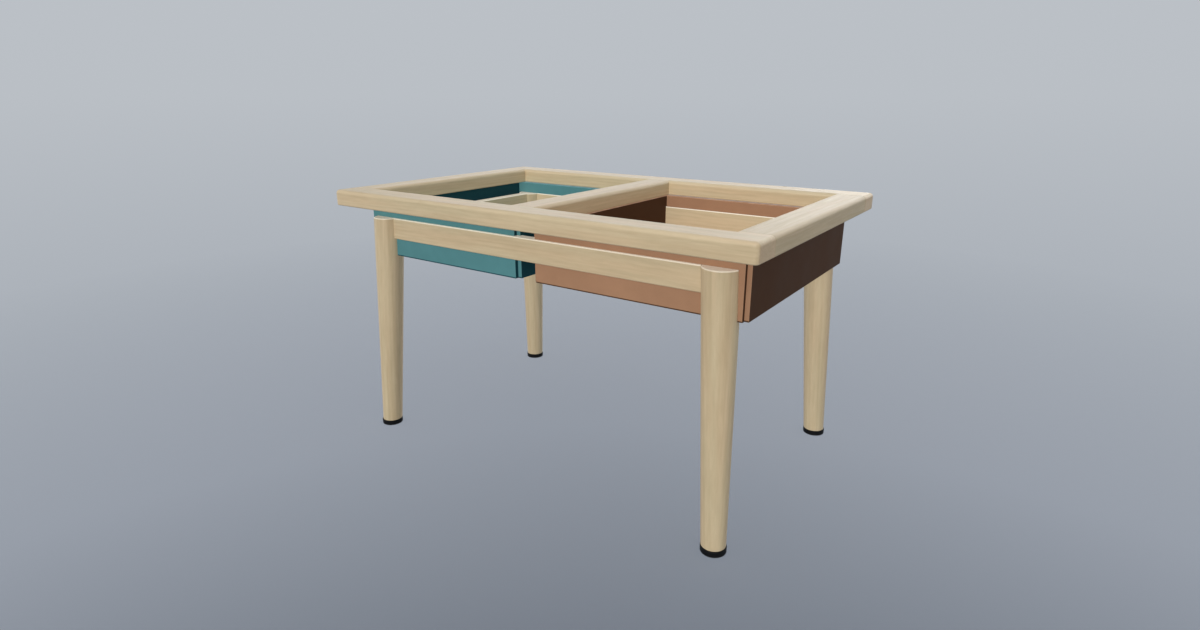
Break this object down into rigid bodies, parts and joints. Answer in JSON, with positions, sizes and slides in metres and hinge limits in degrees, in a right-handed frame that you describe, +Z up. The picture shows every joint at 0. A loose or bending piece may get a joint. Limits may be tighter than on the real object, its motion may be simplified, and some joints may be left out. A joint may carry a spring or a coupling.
{
  "type": "sensory table",
  "caption": "Child-height sensory play table: splayed wooden legs and aprons carry two open painted bins under a flat wooden top frame with a middle divider.",
  "frame": {"origin": "on the floor, under the middle of the table", "axes": "+X to the right along the length as seen from the front, +Y to the rear, +Z up"},
  "size_m": [1.1, 0.7, 0.63],
  "materials": {
    "light_wood": "clear matt lacquer on pale, fine-grained wood",
    "teal_board": "satin teal paint on board",
    "terracotta_board": "satin terracotta paint on board",
    "zinc_steel": "bright zinc plating",
    "black_plastic": "matt black"
  },
  "bodies": {
    "table": {"front_top_rail": "light_wood", "rear_top_rail": "light_wood", "left_top_rail": "light_wood", "right_top_rail": "light_wood", "divider_rail": "light_wood", "front_left_leg": "light_wood", "front_right_leg": "light_wood", "rear_left_leg": "light_wood", "rear_right_leg": "light_wood", "front_apron": "light_wood", "rear_apron": "light_wood", "left_apron": "light_wood", "right_apron": "light_wood", "left_bin_outer_front_dowel": "light_wood", "left_bin_outer_rear_dowel": "light_wood", "left_bin_inner_front_dowel": "light_wood", "left_bin_inner_rear_dowel": "light_wood", "right_bin_outer_front_dowel": "light_wood", "right_bin_outer_rear_dowel": "light_wood", "right_bin_inner_front_dowel": "light_wood", "right_bin_inner_rear_dowel": "light_wood", "left_bin_floor": "teal_board", "left_bin_outer_side": "teal_board", "left_bin_inner_side": "teal_board", "left_bin_front_upper_board": "teal_board", "left_bin_front_lower_board": "teal_board", "left_bin_rear_upper_board": "teal_board", "left_bin_rear_lower_board": "teal_board", "right_bin_floor": "terracotta_board", "right_bin_outer_side": "terracotta_board", "right_bin_inner_side": "terracotta_board", "right_bin_front_upper_board": "terracotta_board", "right_bin_front_lower_board": "terracotta_board", "right_bin_rear_upper_board": "terracotta_board", "right_bin_rear_lower_board": "terracotta_board", "left_bin_front_screw_1": "zinc_steel", "left_bin_front_screw_2": "zinc_steel", "left_bin_rear_screw_1": "zinc_steel", "left_bin_rear_screw_2": "zinc_steel", "right_bin_front_screw_1": "zinc_steel", "right_bin_front_screw_2": "zinc_steel", "right_bin_rear_screw_1": "zinc_steel", "right_bin_rear_screw_2": "zinc_steel", "front_left_leg_insert": "zinc_steel", "front_right_leg_insert": "zinc_steel", "rear_left_leg_insert": "zinc_steel", "rear_right_leg_insert": "zinc_steel"},
    "front_left_foot": {"front_left_glide_pad": "black_plastic", "front_left_glide_stem": "zinc_steel"},
    "front_right_foot": {"front_right_glide_pad": "black_plastic", "front_right_glide_stem": "zinc_steel"},
    "rear_left_foot": {"rear_left_glide_pad": "black_plastic", "rear_left_glide_stem": "zinc_steel"},
    "rear_right_foot": {"rear_right_glide_pad": "black_plastic", "rear_right_glide_stem": "zinc_steel"}
  },
  "joints": [
    {"name": "front_left_foot_height", "type": "slide", "parent": "table", "child": "front_left_foot", "axis": [0, 0, -1], "range_m": [0, 0.01]},
    {"name": "front_right_foot_height", "type": "slide", "parent": "table", "child": "front_right_foot", "axis": [0, 0, -1], "range_m": [0, 0.01]},
    {"name": "rear_left_foot_height", "type": "slide", "parent": "table", "child": "rear_left_foot", "axis": [0, 0, -1], "range_m": [0, 0.01]},
    {"name": "rear_right_foot_height", "type": "slide", "parent": "table", "child": "rear_right_foot", "axis": [0, 0, -1], "range_m": [0, 0.01]}
  ]
}
